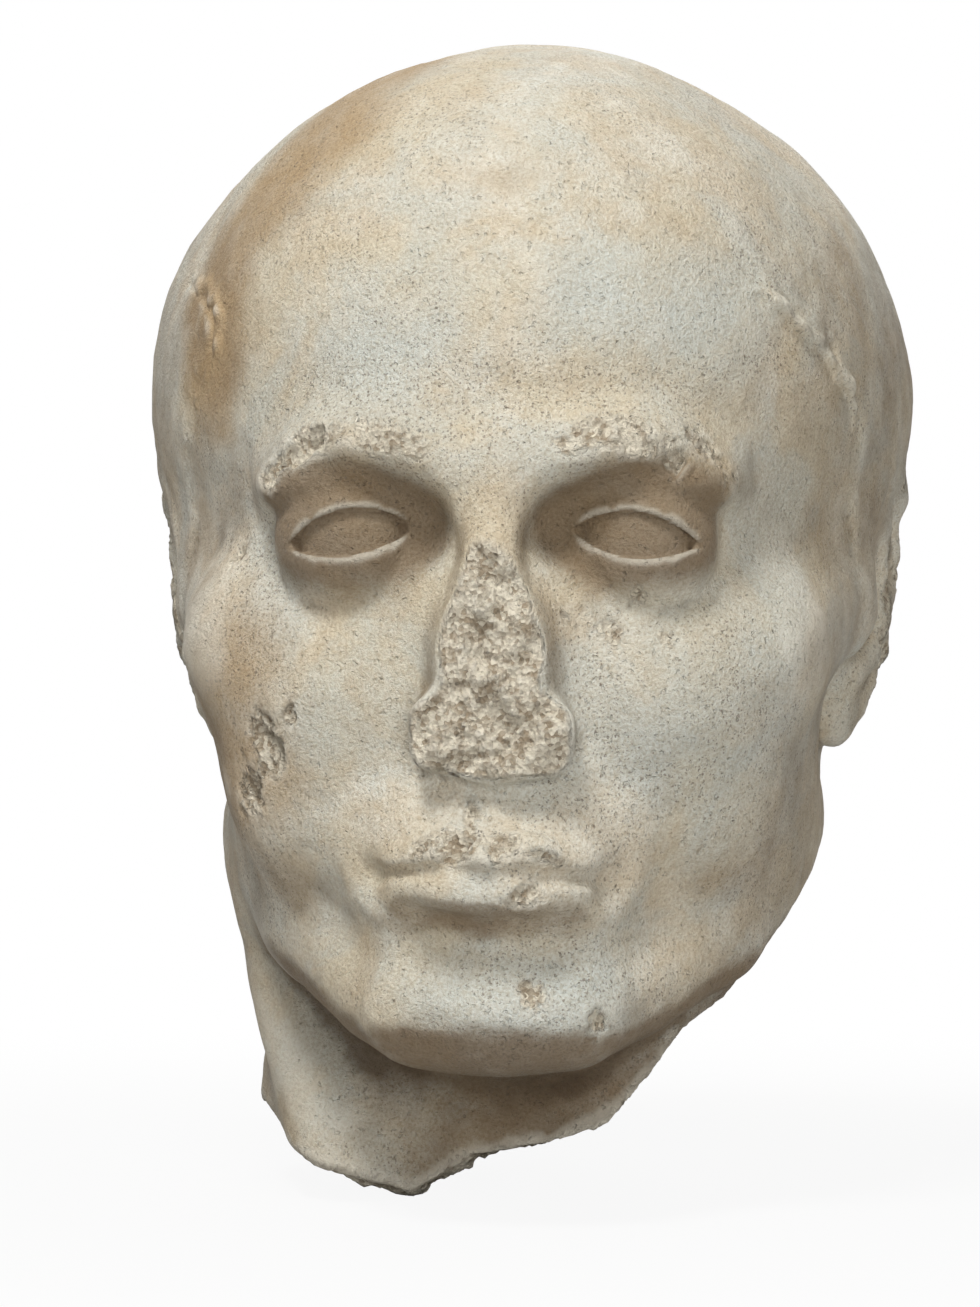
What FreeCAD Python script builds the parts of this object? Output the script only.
import FreeCAD, Part
import math
import os
import re

import Sketcher
from FreeCAD import Placement, Rotation, Vector

# Marble portrait head of a bald man, carved from one block and broken through the neck. A steel sleeve is
# bedded in resin in a hole drilled up into the break, and the rod of a display stand slides into it.
# Millimetres. +Z is up and the face looks along -Y. The origin is the centre of the sleeve's mouth, on the
# head's mid-plane. The forms of the head are placed from the eye line: x towards the head's left, y behind
# the axis of the skull, z above the eyes.

SIZES = {
    "Cranium": {
        "crown_rise": 125, "skull_breadth": 192, "skull_back": 120, "skull_centre_rise": 38,
        "forehead_breadth": 146, "forehead_depth": 150, "forehead_reach": 97, "nape_drop": 22,
        "nape_breadth": 124,
    },
    "Face": {
        "face_breadth": 128, "face_height": 164, "face_reach": 94, "cheek_breadth": 140,
        "arch_breadth": 168, "jaw_breadth": 144, "jaw_angle_drop": 72, "chin_breadth": 46,
        "chin_reach": 100, "chin_drop": 125, "brow_breadth": 116, "brow_reach": 100, "brow_rise": 20,
    },
    "Nose": {
        "nose_breadth": 38, "nose_reach": 124, "nose_base_drop": 54, "nose_root_rise": 9,
    },
    "Mouth": {
        "mouth_breadth": 53, "mouth_reach": 106, "mouth_drop": 77.5, "upper_lip": 4, "lower_lip": 4.6,
    },
    "Eyes": {
        "eye_spacing": 66, "eye_ball": 33, "eye_reach": 91.5, "eye_opening": 30.4, "upper_arc": 6.2,
        "lower_arc": 4.6, "lid_thickness": 2.3, "socket_breadth": 40, "socket_height": 26,
    },
    "Ears": {
        "ear_length": 66, "ear_breadth": 36, "ear_thickness": 12, "ear_rim": 8, "ear_root": 10,
        "ear_spread": 160, "ear_setback": 16, "ear_drop": 14, "ear_flare": 14, "ear_lean": 10,
    },
    "Neck": {
        "neck_breadth": 114, "neck_depth": 106, "neck_setback": 20, "neck_lean": 13, "neck_length": 200,
    },
    "Breaks": {
        "break_left": 131, "break_low": 158, "break_middle": 146, "break_right": 100,
        "break_back_rise": 22, "break_relief": 2.5, "nose_break_reach": 102.2, "nose_break_slope": 2.1,
        "nose_break_relief": 1, "brow_loss": 1.7, "ear_break_spread": 177, "ear_break_slope": 8,
        "ear_break_relief": 0.8,
    },
    "Fittings": {
        "rod_bore": 16.2, "sleeve_wall": 1.9, "sleeve_length": 90, "sleeve_recess": 8,
        "mouth_chamfer": 0.6, "cap_thickness": 3, "cap_skirt": 6, "cap_wall": 1.2, "cap_clearance": 0.1,
        "resin_gap": 3, "resin_recess": 1.5, "rod_setback": 14,
    },
}

doc = FreeCAD.newDocument("portrait_head")
sheet = doc.addObject("Spreadsheet::Sheet", "sizes")


def fill_sheet():
    """Writes each group of sizes under its title, a row for each size, whose name is its cell's alias."""
    row = 1
    for title, group in SIZES.items():
        sheet.set(f"A{row}", title)
        for name, value in group.items():
            row += 1
            sheet.set(f"A{row}", name)
            sheet.set(f"B{row}", str(value))
            sheet.setAlias(f"B{row}", name)
        row += 2
    doc.recompute()


fill_sheet()


def size(name):
    """The value of a named cell, in millimetres."""
    return float(sheet.get(name))


def in_row(x, y, z):
    """A point given from the eye line, in the part's own frame."""
    return Vector(x, y - size("rod_setback"), z + size("break_middle") - size("sleeve_recess"))


# ------------------------------------------------------------------------------------- the clay forms


class Ball:
    """An ellipsoid. Its turn is about the vertical through its centre, in degrees."""

    def __init__(self, centre, radii, turn=0):
        self.centre, self.radii = centre, radii
        self.cos, self.sin = math.cos(math.radians(turn)), math.sin(math.radians(turn))

    def distance(self, x, y, z):
        """How far a point lies outside, close to the surface."""
        dx, dy, dz = x - self.centre[0], y - self.centre[1], z - self.centre[2]
        a = (dx * self.cos + dy * self.sin) / self.radii[0]
        b = (dy * self.cos - dx * self.sin) / self.radii[1]
        c = dz / self.radii[2]
        near = math.sqrt(a * a + b * b + c * c)
        slope = math.sqrt((a / self.radii[0]) ** 2 + (b / self.radii[1]) ** 2 + (c / self.radii[2]) ** 2)
        return near * (near - 1) / max(slope, 1e-9)


class Roll:
    """A tapered roll of clay through points, each of them x, y, z and radius."""

    def __init__(self, *points):
        self.runs = list(zip(points, points[1:]))

    def distance(self, x, y, z):
        """How far a point lies outside the nearest run."""
        return min(self.run_distance(a, b, x, y, z) for a, b in self.runs)

    @staticmethod
    def run_distance(a, b, x, y, z):
        """How far a point lies outside the run from a to b."""
        run = [b[i] - a[i] for i in range(3)]
        way = (x - a[0]) * run[0] + (y - a[1]) * run[1] + (z - a[2]) * run[2]
        share = min(1.0, max(0.0, way / (run[0] ** 2 + run[1] ** 2 + run[2] ** 2)))
        off = [(x, y, z)[i] - a[i] - share * run[i] for i in range(3)]
        return math.sqrt(off[0] ** 2 + off[1] ** 2 + off[2] ** 2) - a[3] - share * (b[3] - a[3])


def joined(a, b, blend):
    """The distance to two forms joined with a soft fillet of about that width."""
    overlap = max(blend - abs(a - b), 0) / blend
    return min(a, b) - overlap * overlap * blend / 4


def carved(a, b, blend):
    """The distance to form a with form b taken out, and a soft edge left."""
    return -joined(-a, b, blend)


def skull_forms():
    """Cranium, forehead and the fullness above the nape as (form, blend)."""
    z, half = size("skull_centre_rise"), size("skull_breadth") / 2
    up, deep = size("crown_rise") - z, size("forehead_depth") / 2
    return [
        (Ball((0, size("skull_back") - half, z), (half, half, up)), 1),
        (Ball((0, deep - size("forehead_reach"), z - 2), (size("forehead_breadth") / 2, deep, up - 7)), 24),
        (Ball((0, size("skull_back") - size("nape_breadth") / 2, -size("nape_drop")),
              (size("nape_breadth") / 2, 44, 46)), 26),
    ]


def face_forms():
    """Face, cheeks, jaw, chin, mound of the mouth and worn brows as (form, blend)."""
    face, cheek, jaw = -size("face_reach"), size("cheek_breadth") / 2, size("jaw_breadth") / 2
    arch, angle, tall = size("arch_breadth") / 2, -size("jaw_angle_drop"), size("face_height") / 2
    eye_x, under_eye = size("eye_spacing") / 2, 29 - size("eye_reach")
    chin_y, chin_z = -size("chin_reach"), -size("chin_drop")
    brow_x, brow_y, brow_z = size("brow_breadth") / 2, -size("brow_reach"), size("brow_rise")
    lost = size("brow_loss")
    mouth_x, mouth_y, mouth_z = size("mouth_breadth") / 2, -size("mouth_reach"), -size("mouth_drop")
    return [
        (Ball((0, face + 62, chin_z + tall + 3), (size("face_breadth") / 2, 62, tall)), 22),
        (Ball((cheek - 17, face + 40, -28), (17, 19, 14), 35), 18),
        (Ball((cheek - 26, face + 42, -56), (21, 24, 26)), 18),
        (Ball((eye_x + 4, under_eye, -34), (22, 24, 22)), 14),
        (Ball((jaw - 13, -12, angle + 20), (13, 28, 30)), 18),
        (Roll((cheek - 8, -48, -23, 8), (arch - 9, -6, -14, 7)), 26),
        (Roll((jaw - 13, 8, angle, 13), (jaw - 24, -38, angle - 22, 12),
              (20, chin_y + 20, chin_z + 16, 12)), 18),
        (Ball((0, chin_y + 18, chin_z + 17), (size("chin_breadth") / 2, 18, 17)), 12),
        (Ball((0, mouth_y + 26, mouth_z + 1), (mouth_x + 6, 23, 24)), 13),
        (Roll((6, brow_y + 8, brow_z - 3, 6.5 - 0.3 * lost), (22, brow_y + 7, brow_z + 0.5, 7.2 - lost),
              (40, brow_y + 14, brow_z + 1, 6.8 - lost), (brow_x - 6, brow_y + 29, brow_z - 6, 3.2)), 11),
        (Ball((0, brow_y + 9, brow_z - 6), (12, 9, 10)), 8),
        (Ball((0, chin_y + 60, chin_z + 19), (34, 42, 18)), 18),
    ]


def nose_forms():
    """Root, bridge, tip, wing and base of the nose as (form, blend), as they were before the break."""
    tip, base, wing = -size("nose_reach"), -size("nose_base_drop"), size("nose_breadth") / 2
    root_y, root_z = -size("brow_reach") + 7, size("nose_root_rise")
    return [
        (Ball((0, root_y, base + 24), (15, 18, 25)), 8),
        (Roll((0, root_y, root_z, 6), (0, tip + 12, base + 18, 7.2)), 6),
        (Ball((0, tip + 10.5, base + 12), (10, 10.5, 9)), 5),
        (Ball((wing - 6.5, tip + 22, base + 8), (7.5, 12, 9)), 5),
        (Ball((0, tip + 20, base + 8), (13, 13, 10.5)), 5),
    ]


def neck_distance(x, y, z):
    """How far a point lies outside the neck, an oval column with its two front muscles and the nape. It leans
    over to one side as it goes down."""
    drop = max(0.0, -z - 50)
    x = abs(x + size("neck_lean") * min(drop / 100, 1.2))
    half, deep = size("neck_breadth") / 2, size("neck_depth") / 2
    mid, end = size("neck_setback"), -size("neck_length")
    column = (math.hypot(x / half, (y - mid) / deep) - 1) * min(half, deep)
    back = mid + deep
    muscle = Roll((half + 7, mid + 10, -45, 11), (half - 7, mid - 28, -105, 10),
                  (half - 31, mid - 50, -165, 9), (half - 35, mid - 54, end - 20, 9))
    nape = Roll((18, back - 16, -30, 20), (22, back - 24, -110, 22), (26, back - 18, end - 20, 26))
    column = joined(max(column, z + 30), muscle.distance(x, y, z), 10)
    column = joined(column, nape.distance(x, y, z), 18)
    return max(column, end - z)


class HeadForm:
    """The head as one distance function, positive outside the stone. Ears, eyes and lips are made apart."""

    def __init__(self):
        eye_x = size("eye_spacing") / 2
        self.masses = skull_forms() + face_forms()
        self.socket = Ball((eye_x + 0.5, -size("brow_reach") - 3, 2),
                           (size("socket_breadth") / 2, 19, size("socket_height") / 2))
        ball = size("eye_ball") / 2
        self.eye_bed = Ball((eye_x, ball - size("eye_reach"), 0), (ball - 0.7, ball - 0.7, ball - 0.7))
        self.inner_corner = Ball((eye_x - 17.5, -size("eye_reach") - 2.5, 1.5), (5, 7, 6))
        under_y, under_z = 19 - size("brow_reach"), size("brow_rise") - 7
        self.under_brow = Ball((eye_x + 7, under_y, under_z), (16, 9, 6.5), 18)
        self.nose = nose_forms()
        mouth_y, mouth_z = -size("mouth_reach"), -size("mouth_drop")
        self.chin_fold = Roll((0, mouth_y + 1, mouth_z - 19, 6.5), (15, mouth_y + 5, mouth_z - 17.5, 6))

    def distance(self, x, y, z):
        """How far a point lies outside the stone."""
        side = abs(x)
        gap = self.masses[0][0].distance(side, y, z)
        for form, blend in self.masses[1:]:
            gap = joined(gap, form.distance(side, y, z), blend)
        gap = joined(gap, neck_distance(x, y, z), 14)
        if y > -40 or gap > 30:
            return gap
        gap = carved(gap, self.socket.distance(side, y, z), 8)
        gap = joined(gap, self.under_brow.distance(side, y, z), 5)
        gap = carved(gap, self.inner_corner.distance(side, y, z), 7)
        gap = joined(gap, self.eye_bed.distance(side, y, z), 10)
        for form, blend in self.nose:
            gap = joined(gap, form.distance(side, y, z), blend)
        return carved(gap, self.chin_fold.distance(side, y, z), 8)


# Stations along the ear's rim and along the fold inside it: how far back as a share of half its breadth, how
# far up as a share of half its length, and how far out and how thick as shares of the rim's radius.
EAR_RIM = ((-1.03, -0.16, 0.4, 0.75), (-1.08, 0.45, 1, 1), (-0.73, 0.88, 1.5, 1), (0.11, 1, 1.6, 1.05),
           (0.82, 0.63, 1.7, 1.05), (0.97, 0.09, 1.2, 1), (0.62, -0.52, 0.8, 1), (0.03, -0.95, 0.1, 1))
EAR_FOLD = ((-0.21, 0.69, 1.3, 0.75), (0.38, 0.34, 1.5, 0.85), (0.35, -0.15, 1.2, 0.9),
            (-0.24, -0.7, 1, 0.85))


class EarForm:
    """One ear as a distance function, on its own axes: x backwards along it, y up it and z outwards."""

    def __init__(self):
        self.long, self.wide = size("ear_length") / 2, size("ear_breadth") / 2
        thick, root = size("ear_thickness") / 2, size("ear_root")
        self.plate = Ball((0, 0, 0), (self.wide - 1, self.long, thick))
        self.root = self.ball(-0.2, -0.1, -root, (0.6 * self.wide, 0.7 * self.long, root))
        self.hollow = self.ball(-0.44, -0.08, thick + 2.4, (0.5 * self.wide, 0.42 * self.long, 8.5))
        flap = self.ball(-1.18, -0.3, 4.6, (4.5, 7, 4.5))
        lobe = self.ball(-0.2, -0.85, -1, (0.5 * self.wide, 10, 4.6))
        lobe_root = self.ball(-0.7, -0.8, -4, (0.5 * self.wide, 12, 6))
        self.details = [(self.roll(EAR_RIM), 2), (self.roll(EAR_FOLD), 2.5), (flap, 3), (lobe, 5),
                        (lobe_root, 6)]

    def ball(self, back, up, out, radii):
        """A ball placed by shares of half the ear's breadth and length, and by how far out it is."""
        return Ball((back * self.wide, up * self.long, out), radii)

    def roll(self, stations):
        """A roll through stations that are given as shares of the ear's sizes."""
        rim = size("ear_rim") / 2
        return Roll(*((a * self.wide, b * self.long, c * rim, d * rim) for a, b, c, d in stations))

    def distance(self, x, y, z):
        """How far a point lies outside the ear."""
        gap = joined(self.plate.distance(x, y, z), self.root.distance(x, y, z), 8)
        gap = carved(gap, self.hollow.distance(x, y, z), 3)
        for form, blend in self.details:
            gap = joined(gap, form.distance(x, y, z), blend)
        return gap


# --------------------------------------------------------------------------------------- spline skins


def spread(start, end, fine_from, fine_to, coarse, fine):
    """Angles from start to end, by a fine step between fine_from and fine_to and a coarse step elsewhere."""
    angles = [start]
    while angles[-1] < end:
        inside = fine_from <= angles[-1] < fine_to
        angles.append(min(angles[-1] + (fine if inside else coarse), end))
    return angles


def outer_point(form, centre, way, reach):
    """Where a line that comes in from reach towards centre first meets the form."""
    away = reach
    for _ in range(60):
        point = [centre[i] + way[i] * away for i in range(3)]
        gap = form.distance(*point)
        if gap < 0.02:
            break
        away -= gap * 0.7
    return point


def skin_rows(form, centre, turns, tilts, reach, lowering):
    """Rows of points on a form, one row for each tilt and one point for each turn. The centre that the rays
    leave moves down by lowering for each degree that they tip below 30, and both ends close to one point."""
    rows = []
    for tilt in tilts:
        middle = (centre[0], centre[1], centre[2] - lowering * max(0, -tilt - 30))
        up, out = math.sin(math.radians(tilt)), math.cos(math.radians(tilt))
        bearings = [math.radians(turn) for turn in turns]
        ways = [(out * math.sin(bearing), out * math.cos(bearing), up) for bearing in bearings]
        rows.append([outer_point(form, middle, way, reach) for way in ways])
    for end, beside in ((0, 1), (-1, -2)):
        level = rows[end][0][2]
        rows[beside] = [[x, y, level] for x, y, _ in rows[beside]]
        rows[end] = [[*rows[end][0][:2], level]] * len(turns)
    return rows


def between(before, here, after):
    """Where a cubic spline with evenly spaced knots runs beside the middle one of three poles."""
    return (before + here * 4 + after) * (1 / 6)


def pushed_out(rows):
    """Poles for a skin that runs close by the given points. With the points as poles it would fall short."""
    count = len(rows[0])
    round_by = [[between(row[i - 1], row[i], row[(i + 1) % count]) for i in range(count)] for row in rows]
    poles = [list(row) for row in rows]
    for j in range(2, len(rows) - 2):
        for i in range(count):
            poles[j][i] = rows[j][i] * 2 - between(round_by[j - 1][i], round_by[j][i], round_by[j + 1][i])
    return poles


def spline_solid(rows, across, along):
    """A solid under a cubic B-spline skin whose poles are the rows of points, cut into patches at the given
    shares of the way round and of the way up, so that each patch is simple to mesh and to cut."""
    round_count, row_count, degree = len(rows[0]), len(rows), 3
    spans = row_count - degree
    skin = Part.BSplineSurface()
    skin.buildFromPolesMultsKnots(
        [[rows[j][i] for j in range(row_count)] for i in range(round_count)],
        [1] * (round_count + 1), [degree + 1] + [1] * (spans - 1) + [degree + 1],
        list(range(round_count + 1)), list(range(spans + 1)), True, False, degree, degree)
    u_cuts = [round(round_count * share) for share in across]
    v_cuts = [round(spans * share) for share in along]
    faces = [skin.toShape(left, right, low, high)
             for left, right in zip(u_cuts, u_cuts[1:]) for low, high in zip(v_cuts, v_cuts[1:])]
    shell = Part.makeShell(faces)
    shell.sewShape()
    solid = Part.Solid(shell if shell.ShapeType == "Shell" else shell.Shells[0])
    if solid.Volume < 0:
        solid.reverse()
    return solid


# The rays that find the skin, in degrees. They are closer together over the face and throat, which lie within
# a turn of the front and between two tilts.
RAY_STEP, FACE_STEP = 8, 3.5
FACE_TURN, THROAT_TILT, BROW_TILT = 48, -66, 24


def head_skin():
    """Skull, face and neck under one skin."""
    turns = spread(0, 360, 180 - FACE_TURN, 180 + FACE_TURN, RAY_STEP, FACE_STEP)[:-1]
    tilts = spread(-90, 90, THROAT_TILT, BROW_TILT, RAY_STEP, FACE_STEP)
    middle = (0, size("neck_setback") / 2, -size("ear_drop"))
    rows = skin_rows(HeadForm(), middle, turns, tilts, size("crown_rise") + size("skull_back"), 1.6)
    rows = pushed_out([[in_row(*point) for point in row] for row in rows])
    return spline_solid(rows, (0, 0.22, 0.5, 0.78, 1), (0, 0.2, 0.5, 0.78, 1))


def ear_skin():
    """One ear, its skin's two ends in the hollow and inside the skull."""
    turns = spread(0, 360, 0, 0, 15, 15)[:-1]
    tilts = spread(-90, 90, 15, 90, 15, 7.5)
    rows = skin_rows(EarForm(), (0, 0, -size("ear_root")), turns, tilts, size("ear_length"), 0)
    rows = [[Vector(out, back, up) for back, up, out in row] for row in rows]
    return spline_solid(rows, (0, 0.5, 1), (0, 0.5, 1))


# ----------------------------------------------------------------------------------- document objects


def formula(text):
    """The same text with each size's name made a reference to its cell."""
    return re.sub(r"[a-z]+(_[a-z]+)+", lambda name: "sizes." + name.group(), text)


def bind(thing, **sizes_of):
    """Binds properties of a document object to formulas of named sizes."""
    for name, text in sizes_of.items():
        thing.setExpression(name.replace("__", "."), formula(text))
    return thing


def stand(thing, x, y, z, turn=None):
    """Places an object by formulas given from the eye line."""
    thing.Placement = Placement(Vector(), turn or Rotation())
    return bind(thing, Placement__Base__x=x, Placement__Base__y=f"{y} - rod_setback",
                Placement__Base__z=f"{z} + break_middle - sleeve_recess")


def add(kind, name, **properties):
    """A new document object with plain properties set."""
    thing = doc.addObject(kind, name)
    for key, value in properties.items():
        setattr(thing, key, value)
    return thing


def mirrored(source, name):
    """The same form on the other side of the head's mid-plane."""
    return add("Part::Mirroring", name, Source=source, Normal=Vector(1, 0, 0), Base=Vector())


EYE = ("eye_spacing / 2", "eye_ball / 2 - eye_reach", "0")
FORWARD = Rotation(Vector(1, 0, 0), 90)


def eye():
    """A blank eyeball under two lids, a shell round the ball that is open between an upper and a lower arc."""
    ball = stand(bind(add("Part::Sphere", "eyeball"), Radius="eye_ball / 2"), *EYE)
    shell = stand(bind(add("Part::Sphere", "lid_shell"), Radius="eye_ball / 2 + lid_thickness"), *EYE)
    arcs = []
    for name, rise, side in (("upper_lid_arc", "upper_arc", "-"), ("lower_lid_arc", "lower_arc", "")):
        radius = f"((eye_opening / 2) ^ 2 + {rise} ^ 2) / (2 * {rise})"
        centre = f"{side}({radius} - {rise})"
        arc = bind(add("Part::Cylinder", name), Radius=radius, Height="eye_ball")
        arcs.append(stand(arc, EYE[0], EYE[1] + " - eye_ball / 8", centre, FORWARD))
    opening = add("Part::Common", "eye_opening_prism", Base=arcs[0], Tool=arcs[1])
    lids = add("Part::Cut", "lids", Base=shell, Tool=opening)
    return add("Part::Fuse", "eye_left", Base=lids, Tool=ball)


# Each lip's stations: how far out as a share of half the mouth, how far back and up from the middle of the
# mouth's line, and the radius as a share of the lip's.
UPPER_LIP = ((0, 4.4, 4.6, 0.95), (0.3, 4.6, 5.4, 1.05), (0.64, 9.2, 3.4, 0.8), (0.97, 18, 0, 0.3))
LOWER_LIP = ((0, 6, -5.2, 1), (0.34, 6.4, -5, 1), (0.64, 11, -3.8, 0.74), (0.95, 18.5, -1, 0.25))


def lip(name, stations, thickness):
    """A loft through circles from one corner of the mouth to the other."""
    sideways = Rotation(Vector(0, 1, 0), 90)
    circles = []
    for share, back, up, part in [(-a, b, c, d) for a, b, c, d in reversed(stations[1:])] + list(stations):
        circle = bind(add("Part::Circle", f"{name}_section"), Radius=f"{thickness} * {part}")
        place = (f"mouth_breadth / 2 * {share}", f"{back} - mouth_reach", f"{up} - mouth_drop")
        circles.append(stand(circle, *place, sideways))
    return add("Part::Loft", name, Sections=circles, Solid=True, Ruled=False)


def feature(name, shape, placement=None):
    """A form that only Part's own functions can make."""
    thing = add("Part::Feature", name, Shape=shape)
    thing.Placement = placement or Placement()
    return thing


def rough_surface(corner, across, along, height, steps):
    """A spline surface over a grid that starts at corner and runs by two vectors. Each point is lifted by a
    height vector that depends on its place in the grid, counted from 0 to 1 both ways."""
    surface = Part.BSplineSurface()
    surface.interpolate([[corner + across * (i / steps) + along * (j / steps) + height(i / steps, j / steps)
                          for j in range(steps + 1)] for i in range(steps + 1)])
    return surface.toShape()


def relief(a, b, count):
    """An uneven rise and fall between -1 and 1, with about count waves each way."""
    wave = math.sin(count * 6.1 * a + 2.3 * math.sin(count * 4.7 * b))
    return 0.6 * wave + 0.4 * math.sin(count * 8.9 * b + 3.1 * a + 1.7)


def nose_break():
    """What broke off the nose: all that stood in front of a rough face, which leans forward at its top."""
    half = size("nose_breadth") / 2 + 6
    base, top = size("nose_base_drop") + 8, size("nose_root_rise")
    rough = Vector(0, size("nose_break_relief"), 0)
    corner = in_row(-half, -size("nose_break_reach"), -base)
    along = Vector(0, -size("nose_break_slope"), base + top)
    face = rough_surface(corner, Vector(2 * half, 0, 0), along, lambda a, b: rough * relief(a, b, 2), 10)
    return feature("nose_break", face.extrude(Vector(0, -size("nose_reach"), 0)))


def ear_break():
    """What was struck off the left ear: the rim beyond a rough face, which leans out at its top."""
    wide, tall = size("ear_breadth"), size("ear_length") + 2 * size("ear_rim")
    rough, lean = Vector(size("ear_break_relief"), 0, 0), size("ear_break_slope") / 2
    corner = in_row(size("ear_break_spread") / 2 - lean, size("ear_setback") - wide,
                    -size("ear_drop") - tall / 2)
    along = Vector(2 * lean, 0, tall)
    face = rough_surface(corner, Vector(0, 2 * wide, 0), along, lambda a, b: rough * relief(a, b, 2), 10)
    return feature("ear_break", face.extrude(Vector(wide, 0, 0)))


def left_ear():
    """The ear against the side of the skull, turned outwards at its back edge and leaning back at its top,
    with its rim struck off."""
    turn = Rotation(Vector(0, 0, 1), -size("ear_flare")) * Rotation(Vector(1, 0, 0), -size("ear_lean"))
    place = Placement(in_row(size("ear_spread") / 2, size("ear_setback"), -size("ear_drop")), turn)
    return add("Part::Cut", "ear_left", Base=feature("whole_ear", ear_skin(), place), Tool=ear_break())


def neck_break():
    """What broke off below: all under a rough face, low on the head's right side and higher behind."""
    wide, deep = size("neck_breadth"), size("neck_depth")
    left, low = size("break_left"), size("break_low")
    middle, right = size("break_middle"), size("break_right")
    profile = [(-0.7, left), (-0.5, left + 16), (-0.22, low), (-0.1, middle + 4), (0.08, middle),
               (0.2, middle - 7), (0.36, right + 16), (0.6, right)]

    def drop(share):
        if share <= profile[0][0]:
            return profile[0][1]
        for (a, before), (b, after) in zip(profile, profile[1:]):
            if share <= b:
                return before + (after - before) * (share - a) / (b - a)
        return profile[-1][1]

    def height(a, b):
        rise = size("break_back_rise") * max(0, b - 0.5) * 2
        return Vector(0, 0, rise - drop(2 * a - 1) + size("break_relief") * relief(a, b, 3))

    corner = in_row(-wide, size("neck_setback") - deep, 0)
    face = rough_surface(corner, Vector(2 * wide, 0, 0), Vector(0, 2 * deep, 0), height, 24)
    return feature("neck_break", face.extrude(Vector(0, 0, -size("neck_length"))))


def drilled_hole():
    """The hole for the sleeve and its resin, drilled straight up from below the break."""
    hole = add("Part::Cylinder", "drilled_hole")
    start = "(break_low - break_middle + sleeve_recess + 20)"
    return bind(hole, Radius="rod_bore / 2 + sleeve_wall + resin_gap", Placement__Base__z=f"-{start}",
                Height=f"{start} + sleeve_length + cap_thickness + resin_gap")


def marble_head():
    """The carved block, with what has broken off cut away and the hole drilled."""
    ear, left_eye = left_ear(), eye()
    pieces = [feature("skull_and_neck", head_skin()), ear, mirrored(ear, "ear_right"), left_eye,
              mirrored(left_eye, "eye_right"), lip("upper_lip_roll", UPPER_LIP, "upper_lip"),
              lip("lower_lip_roll", LOWER_LIP, "lower_lip")]
    whole = add("Part::MultiFuse", "whole_head", Shapes=pieces)
    noseless = add("Part::Cut", "head_without_nose", Base=whole, Tool=nose_break())
    broken = add("Part::Cut", "broken_head", Base=noseless, Tool=neck_break())
    return add("Part::Cut", "marble_head", Base=broken, Tool=drilled_hole())


def ring_sketch(body, name, radii, level=None):
    """Circles about the body's axis on its XY plane, one for each formula of a radius."""
    sketch = body.newObject("Sketcher::SketchObject", name)
    plane = [item for item in body.Origin.OriginFeatures if item.Role == "XY_Plane"][0]
    sketch.AttachmentSupport = [(plane, "")]
    sketch.MapMode = "FlatFace"
    if level:
        sketch.setExpression("AttachmentOffset.Base.z", formula(level))
    for radius in radii:
        index = sketch.addGeometry(Part.Circle(Vector(), Vector(0, 0, 1), 5 + len(sketch.Geometry)), False)
        sketch.addConstraint(Sketcher.Constraint("Coincident", index, 3, -1, 1))
        limit = sketch.addConstraint(Sketcher.Constraint("Radius", index, 5 + index))
        sketch.setExpression(f"Constraints[{limit}]", formula(radius))
    return sketch


def padded(body, name, sketch, length, downwards=False):
    """A pad of a sketch, up by default."""
    pad = body.newObject("PartDesign::Pad", name)
    pad.Profile = sketch
    pad.Reversed = downwards
    sketch.Visibility = False
    return bind(pad, Length=length)


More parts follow.
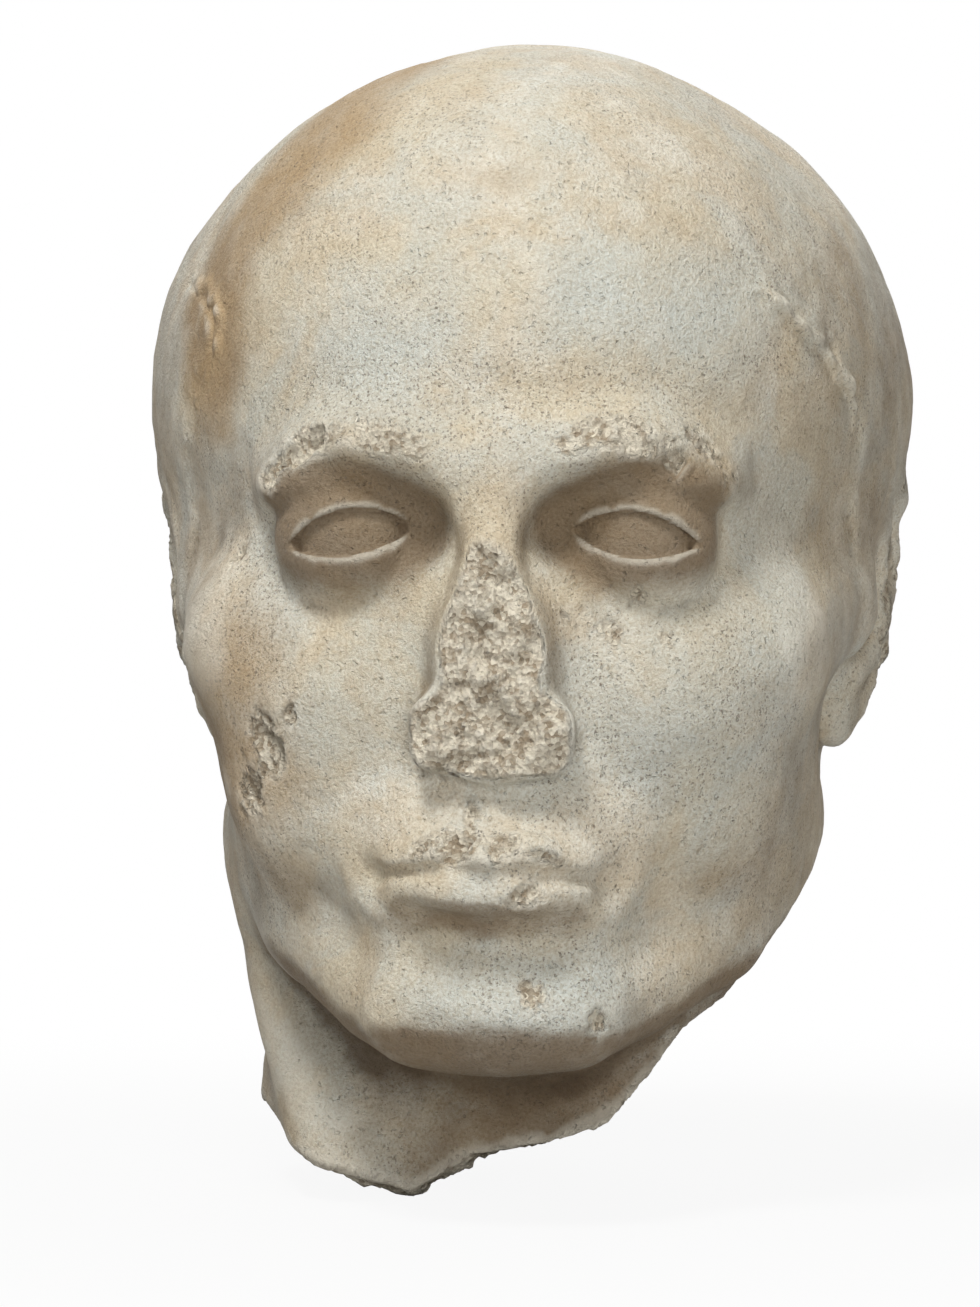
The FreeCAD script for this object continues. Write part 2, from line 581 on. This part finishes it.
def socket_tube():
    """The steel sleeve that takes the rod, with its outer edge broken at the mouth."""
    body = add("PartDesign::Body", "socket_tube")
    rings = ring_sketch(body, "sleeve_section", ("rod_bore / 2", "rod_bore / 2 + sleeve_wall"))
    pad = padded(body, "sleeve", rings, "sleeve_length")
    doc.recompute()
    mouth = [f"Edge{i + 1}" for i, edge in enumerate(pad.Shape.Edges)
             if edge.BoundBox.ZMax < 1e-6 and edge.BoundBox.XMax > size("rod_bore") / 2 + 0.01]
    chamfer = body.newObject("PartDesign::Chamfer", "mouth_chamfer_cut")
    chamfer.Base = (pad, mouth)
    bind(chamfer, Size="mouth_chamfer")
    return body


CAP_RADIUS = "rod_bore / 2 + sleeve_wall + cap_clearance + cap_wall"


def end_cap():
    """The cap that closes the sleeve's top: a disc that rests on its end, with a skirt round its outside."""
    body = add("PartDesign::Body", "end_cap")
    disc = ring_sketch(body, "cap_disc_section", (CAP_RADIUS,), "sleeve_length")
    padded(body, "cap_disc", disc, "cap_thickness")
    rings = ("rod_bore / 2 + sleeve_wall + cap_clearance", CAP_RADIUS)
    skirt = ring_sketch(body, "cap_skirt_section", rings, "sleeve_length")
    padded(body, "cap_skirt_ring", skirt, "cap_skirt", downwards=True)
    return body


def resin_bed():
    """The resin between stone and steel, set back a little from the mouth and closed over the cap."""
    outside = bind(add("Part::Cylinder", "resin_outside"), Radius="rod_bore / 2 + sleeve_wall + resin_gap",
                   Height="sleeve_length + cap_thickness + resin_gap - resin_recess",
                   Placement__Base__z="resin_recess")
    round_sleeve = bind(add("Part::Cylinder", "sleeve_space"), Radius="rod_bore / 2 + sleeve_wall",
                        Height="sleeve_length")
    round_cap = bind(add("Part::Cylinder", "cap_space"), Radius=CAP_RADIUS,
                     Height="cap_skirt + cap_thickness", Placement__Base__z="sleeve_length - cap_skirt")
    space = add("Part::Fuse", "space_for_steel", Base=round_sleeve, Tool=round_cap)
    return add("Part::Cut", "resin_bed", Base=outside, Tool=space)


def build():
    """Builds the sub-parts, checks every object and writes each sub-part's file."""
    parts = [marble_head(), socket_tube(), end_cap(), resin_bed()]
    doc.recompute()
    for thing in doc.Objects:
        if {"Invalid", "Error"} & set(thing.State):
            raise RuntimeError(f"{thing.Label} failed: {thing.State}")
    os.makedirs("parts", exist_ok=True)
    for part in parts:
        shape = part.Shape
        if shape.isNull() or not shape.isValid() or len(shape.Solids) != 1:
            raise RuntimeError(f"{part.Label} is not one valid solid")
        print(part.Label, "volume", round(shape.Volume), "mm3, box", shape.BoundBox)
    for part in parts:
        part.Shape.exportStep(f"parts/{part.Label}.step")


build()
